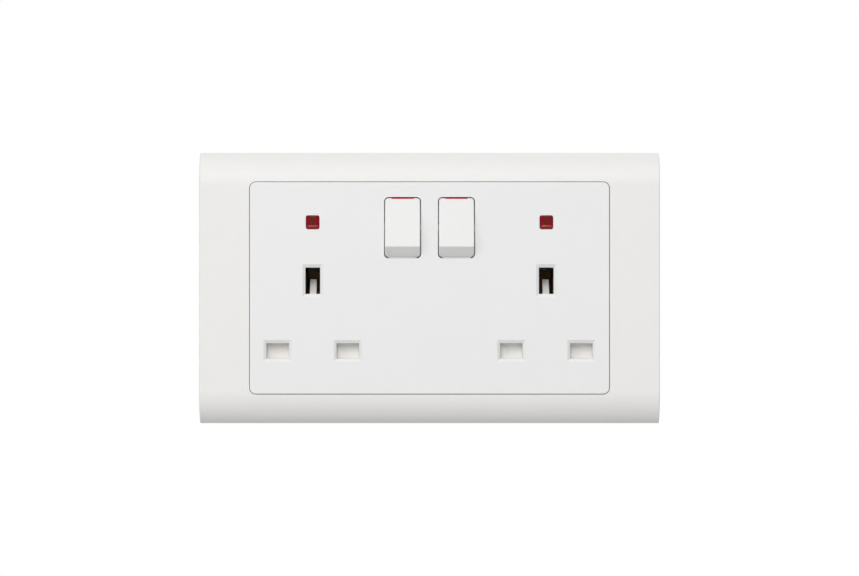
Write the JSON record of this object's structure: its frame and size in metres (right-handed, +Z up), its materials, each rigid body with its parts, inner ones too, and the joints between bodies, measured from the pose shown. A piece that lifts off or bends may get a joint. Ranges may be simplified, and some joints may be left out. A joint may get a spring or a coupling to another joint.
{
  "type": "twin switched wall socket",
  "caption": "Twin switched mains wall socket for square three-pin plugs, with a clip-on curved frame, rocker switches, neon lenses, pin shutters and rear screw terminals.",
  "frame": {"origin": "middle of the plate on the wall plane, midway between the fixing screws", "axes": "+X to the viewer's right along the plate, +Y from the face into the wall, +Z up"},
  "size_m": [0.146, 0.0334, 0.086],
  "materials": {
    "frame_white": "warm white moulded plastic, satin gloss",
    "insert_white": "neutral white moulded plastic, satin gloss",
    "housing_white": "off-white moulded plastic, fine matt texture",
    "rocker_white": "white moulded plastic, smooth gloss",
    "shutter_white": "natural white plastic, smooth",
    "flash_red": "red plastic inlay",
    "lens_red": "translucent red moulded lens",
    "lamp_glass": "clear glass tube with metal electrodes inside",
    "brass": "bright rolled brass",
    "silver": "silver alloy contact button",
    "zinc_steel": "zinc plated steel",
    "spring_steel": "drawn spring wire",
    "plunger_nylon": "natural nylon",
    "resistor_tan": "lacquered resistor body with tinned leads",
    "lead_blue": "blue insulation"
  },
  "bodies": {
    "base": {"front_frame": "frame_white", "socket_faceplate": "insert_white", "rear_housing": "housing_white", "fixing_screws": "zinc_steel", "case_screws": "zinc_steel", "terminal_screws": "brass", "neutral_terminal": "brass", "left_earth_terminal": "brass", "right_earth_terminal": "brass", "live_terminal": "brass", "earth_strap": "brass", "neutral_bar": "brass", "live_bar": "brass", "left_switched_live": "brass", "right_switched_live": "brass", "left_fixed_contact": "silver", "left_shutter_spring": "spring_steel", "left_neon_lens": "lens_red", "left_neon_lamp": "lamp_glass", "left_neon_resistor": "resistor_tan", "left_neon_lead": "lead_blue", "right_fixed_contact": "silver", "right_shutter_spring": "spring_steel", "right_neon_lens": "lens_red", "right_neon_lamp": "lamp_glass", "right_neon_resistor": "resistor_tan", "right_neon_lead": "lead_blue"},
    "left_rocker": {"left_rocker": "rocker_white", "left_on_flash": "flash_red", "left_plunger_spring": "spring_steel"},
    "left_plunger": {"left_plunger": "plunger_nylon"},
    "left_lever": {"left_contact_lever": "brass", "left_moving_contact": "silver"},
    "left_shutter": {"left_shutter": "shutter_white"},
    "right_rocker": {"right_rocker": "rocker_white", "right_on_flash": "flash_red", "right_plunger_spring": "spring_steel"},
    "right_plunger": {"right_plunger": "plunger_nylon"},
    "right_lever": {"right_contact_lever": "brass", "right_moving_contact": "silver"},
    "right_shutter": {"right_shutter": "shutter_white"}
  },
  "joints": [
    {"name": "left_rocker_tilt", "type": "hinge", "parent": "base", "child": "left_rocker", "pos_m": [-0.00853, -0.0065, 0.0191], "axis": [1, 0, 0], "range_deg": [0, 14]},
    {"name": "left_lever_tilt", "type": "hinge", "parent": "base", "child": "left_lever", "pos_m": [-0.00853, 0.006, 0.0191], "axis": [1, 0, 0], "range_deg": [-14, 0]},
    {"name": "left_plunger_slide", "type": "slide", "parent": "left_rocker", "child": "left_plunger", "axis": [0, -0.9925, 0.1219], "range_m": [0, 0.0006], "stiffness_N_per_m": 300, "springref_m": -0.001, "deforming": ["left_plunger_spring"]},
    {"name": "left_shutter_slide", "type": "slide", "parent": "base", "child": "left_shutter", "axis": [0, 0, -1], "range_m": [0, 0.0058], "stiffness_N_per_m": 150, "springref_m": -0.004, "deforming": ["left_shutter_spring"]},
    {"name": "right_rocker_tilt", "type": "hinge", "parent": "base", "child": "right_rocker", "pos_m": [0.00853, -0.0065, 0.0191], "axis": [1, 0, 0], "range_deg": [0, 14]},
    {"name": "right_lever_tilt", "type": "hinge", "parent": "base", "child": "right_lever", "pos_m": [0.00853, 0.006, 0.0191], "axis": [1, 0, 0], "range_deg": [-14, 0]},
    {"name": "right_plunger_slide", "type": "slide", "parent": "right_rocker", "child": "right_plunger", "axis": [0, -0.9925, 0.1219], "range_m": [0, 0.0006], "stiffness_N_per_m": 300, "springref_m": -0.001, "deforming": ["right_plunger_spring"]},
    {"name": "right_shutter_slide", "type": "slide", "parent": "base", "child": "right_shutter", "axis": [0, 0, -1], "range_m": [0, 0.0058], "stiffness_N_per_m": 150, "springref_m": -0.004, "deforming": ["right_shutter_spring"]}
  ],
  "couplings": [
    {"joint": "left_lever_tilt", "follows": "left_rocker_tilt", "ratio": -1},
    {"joint": "right_lever_tilt", "follows": "right_rocker_tilt", "ratio": -1}
  ]
}
